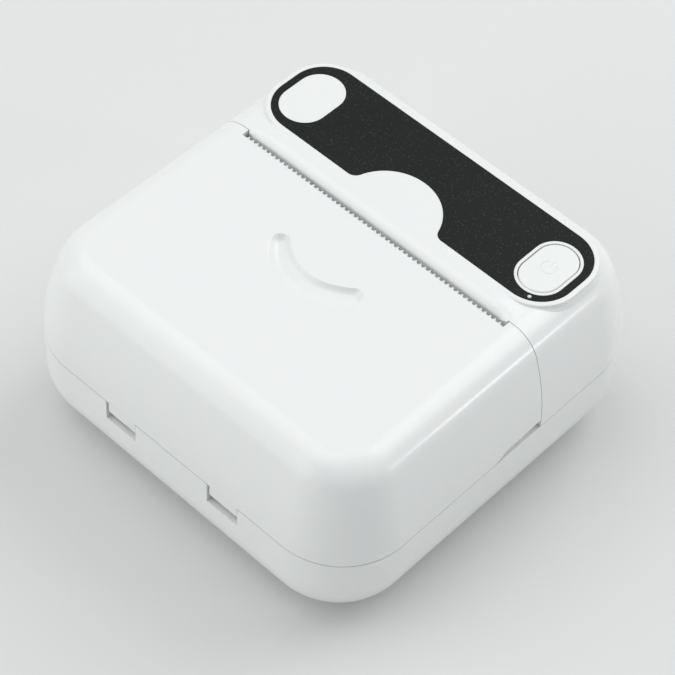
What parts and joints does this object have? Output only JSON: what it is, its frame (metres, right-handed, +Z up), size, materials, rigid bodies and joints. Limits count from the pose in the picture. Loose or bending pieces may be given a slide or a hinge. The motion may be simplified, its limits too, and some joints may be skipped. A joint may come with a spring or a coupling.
{
  "type": "portable thermal printer",
  "caption": "Pocket thermal printer: rounded case with a front-hinged lid over a paper cradle, a geared platen roller and print head, and a power button.",
  "frame": {"origin": "centre of the footprint, on the table under the rubber feet", "axes": "+X right, -Y the front with the lid's hinge, +Z up"},
  "size_m": [0.078, 0.0772, 0.038],
  "materials": {
    "white_shell": "glossy white ABS",
    "white_inner": "satin white ABS inside the case",
    "black_panel": "matte near-black printed sheet",
    "black_plastic": "matte black moulding",
    "clear_light": "milky light pipe",
    "steel": "plated steel",
    "zinc_plate": "zinc-plated sheet",
    "motor_can": "pressed motor can",
    "aluminium": "extruded aluminium",
    "nylon": "natural acetal",
    "brass": "turned brass",
    "roller_rubber": "ground silicone rubber",
    "foot_rubber": "soft rubber",
    "ceramic": "glazed ceramic strip",
    "flex_cable": "polyimide flat cable",
    "board_green": "solder mask on glass-fibre board",
    "battery_foil": "battery pouch foil"
  },
  "bodies": {
    "case": {"lower_case": "white_shell", "rear_housing": "white_shell", "overlay_panel": "black_panel", "status_light_pipe": "clear_light", "idler_axle": "steel", "stepper_motor": "motor_can", "mechanism_frame": "zinc_plate", "frame_screws": "steel", "print_head": "ceramic", "head_heatsink": "aluminium", "head_springs": "steel", "ribbon_cable": "flex_cable", "paper_bin": "white_inner", "paper_sensor": "black_plastic", "main_board": "board_green", "board_chips": "black_plastic", "button_switch": "black_plastic", "usb_socket": "steel", "battery": "battery_foil", "hinge_pins": "steel", "case_screws": "steel", "rubber_feet": "foot_rubber"},
    "lid": {"lid_cover": "white_shell", "tear_strip": "white_shell", "lid_inner_frame": "black_plastic", "lid_screws": "steel", "platen_bushings": "nylon"},
    "platen": {"platen_roller": "roller_rubber", "platen_shaft": "steel", "platen_gear": "nylon"},
    "idler": {"idler_gear": "nylon"},
    "pinion": {"motor_pinion": "brass", "motor_shaft": "steel"},
    "button": {"power_button": "white_shell"}
  },
  "joints": [
    {"name": "lid_hinge", "type": "hinge", "parent": "case", "child": "lid", "pos_m": [0, -0.0373, 0.0154], "axis": [1, 0, 0], "range_deg": [0, 85]},
    {"name": "platen_spin", "type": "hinge", "parent": "lid", "child": "platen", "pos_m": [0, 0.0035, 0.0289], "axis": [1, 0, 0], "continuous": true},
    {"name": "idler_spin", "type": "hinge", "parent": "case", "child": "idler", "pos_m": [0, 0.00713, 0.01792], "axis": [1, 0, 0], "continuous": true},
    {"name": "pinion_spin", "type": "hinge", "parent": "case", "child": "pinion", "pos_m": [0, 0.01742, 0.02199], "axis": [1, 0, 0], "continuous": true},
    {"name": "button_press", "type": "slide", "parent": "case", "child": "button", "axis": [0, 0, -1], "range_m": [0, 0.0006], "stiffness_N_per_m": 500}
  ],
  "couplings": [
    {"joint": "idler_spin", "follows": "platen_spin", "ratio": -0.53333},
    {"joint": "pinion_spin", "follows": "platen_spin", "ratio": 1.1429}
  ]
}
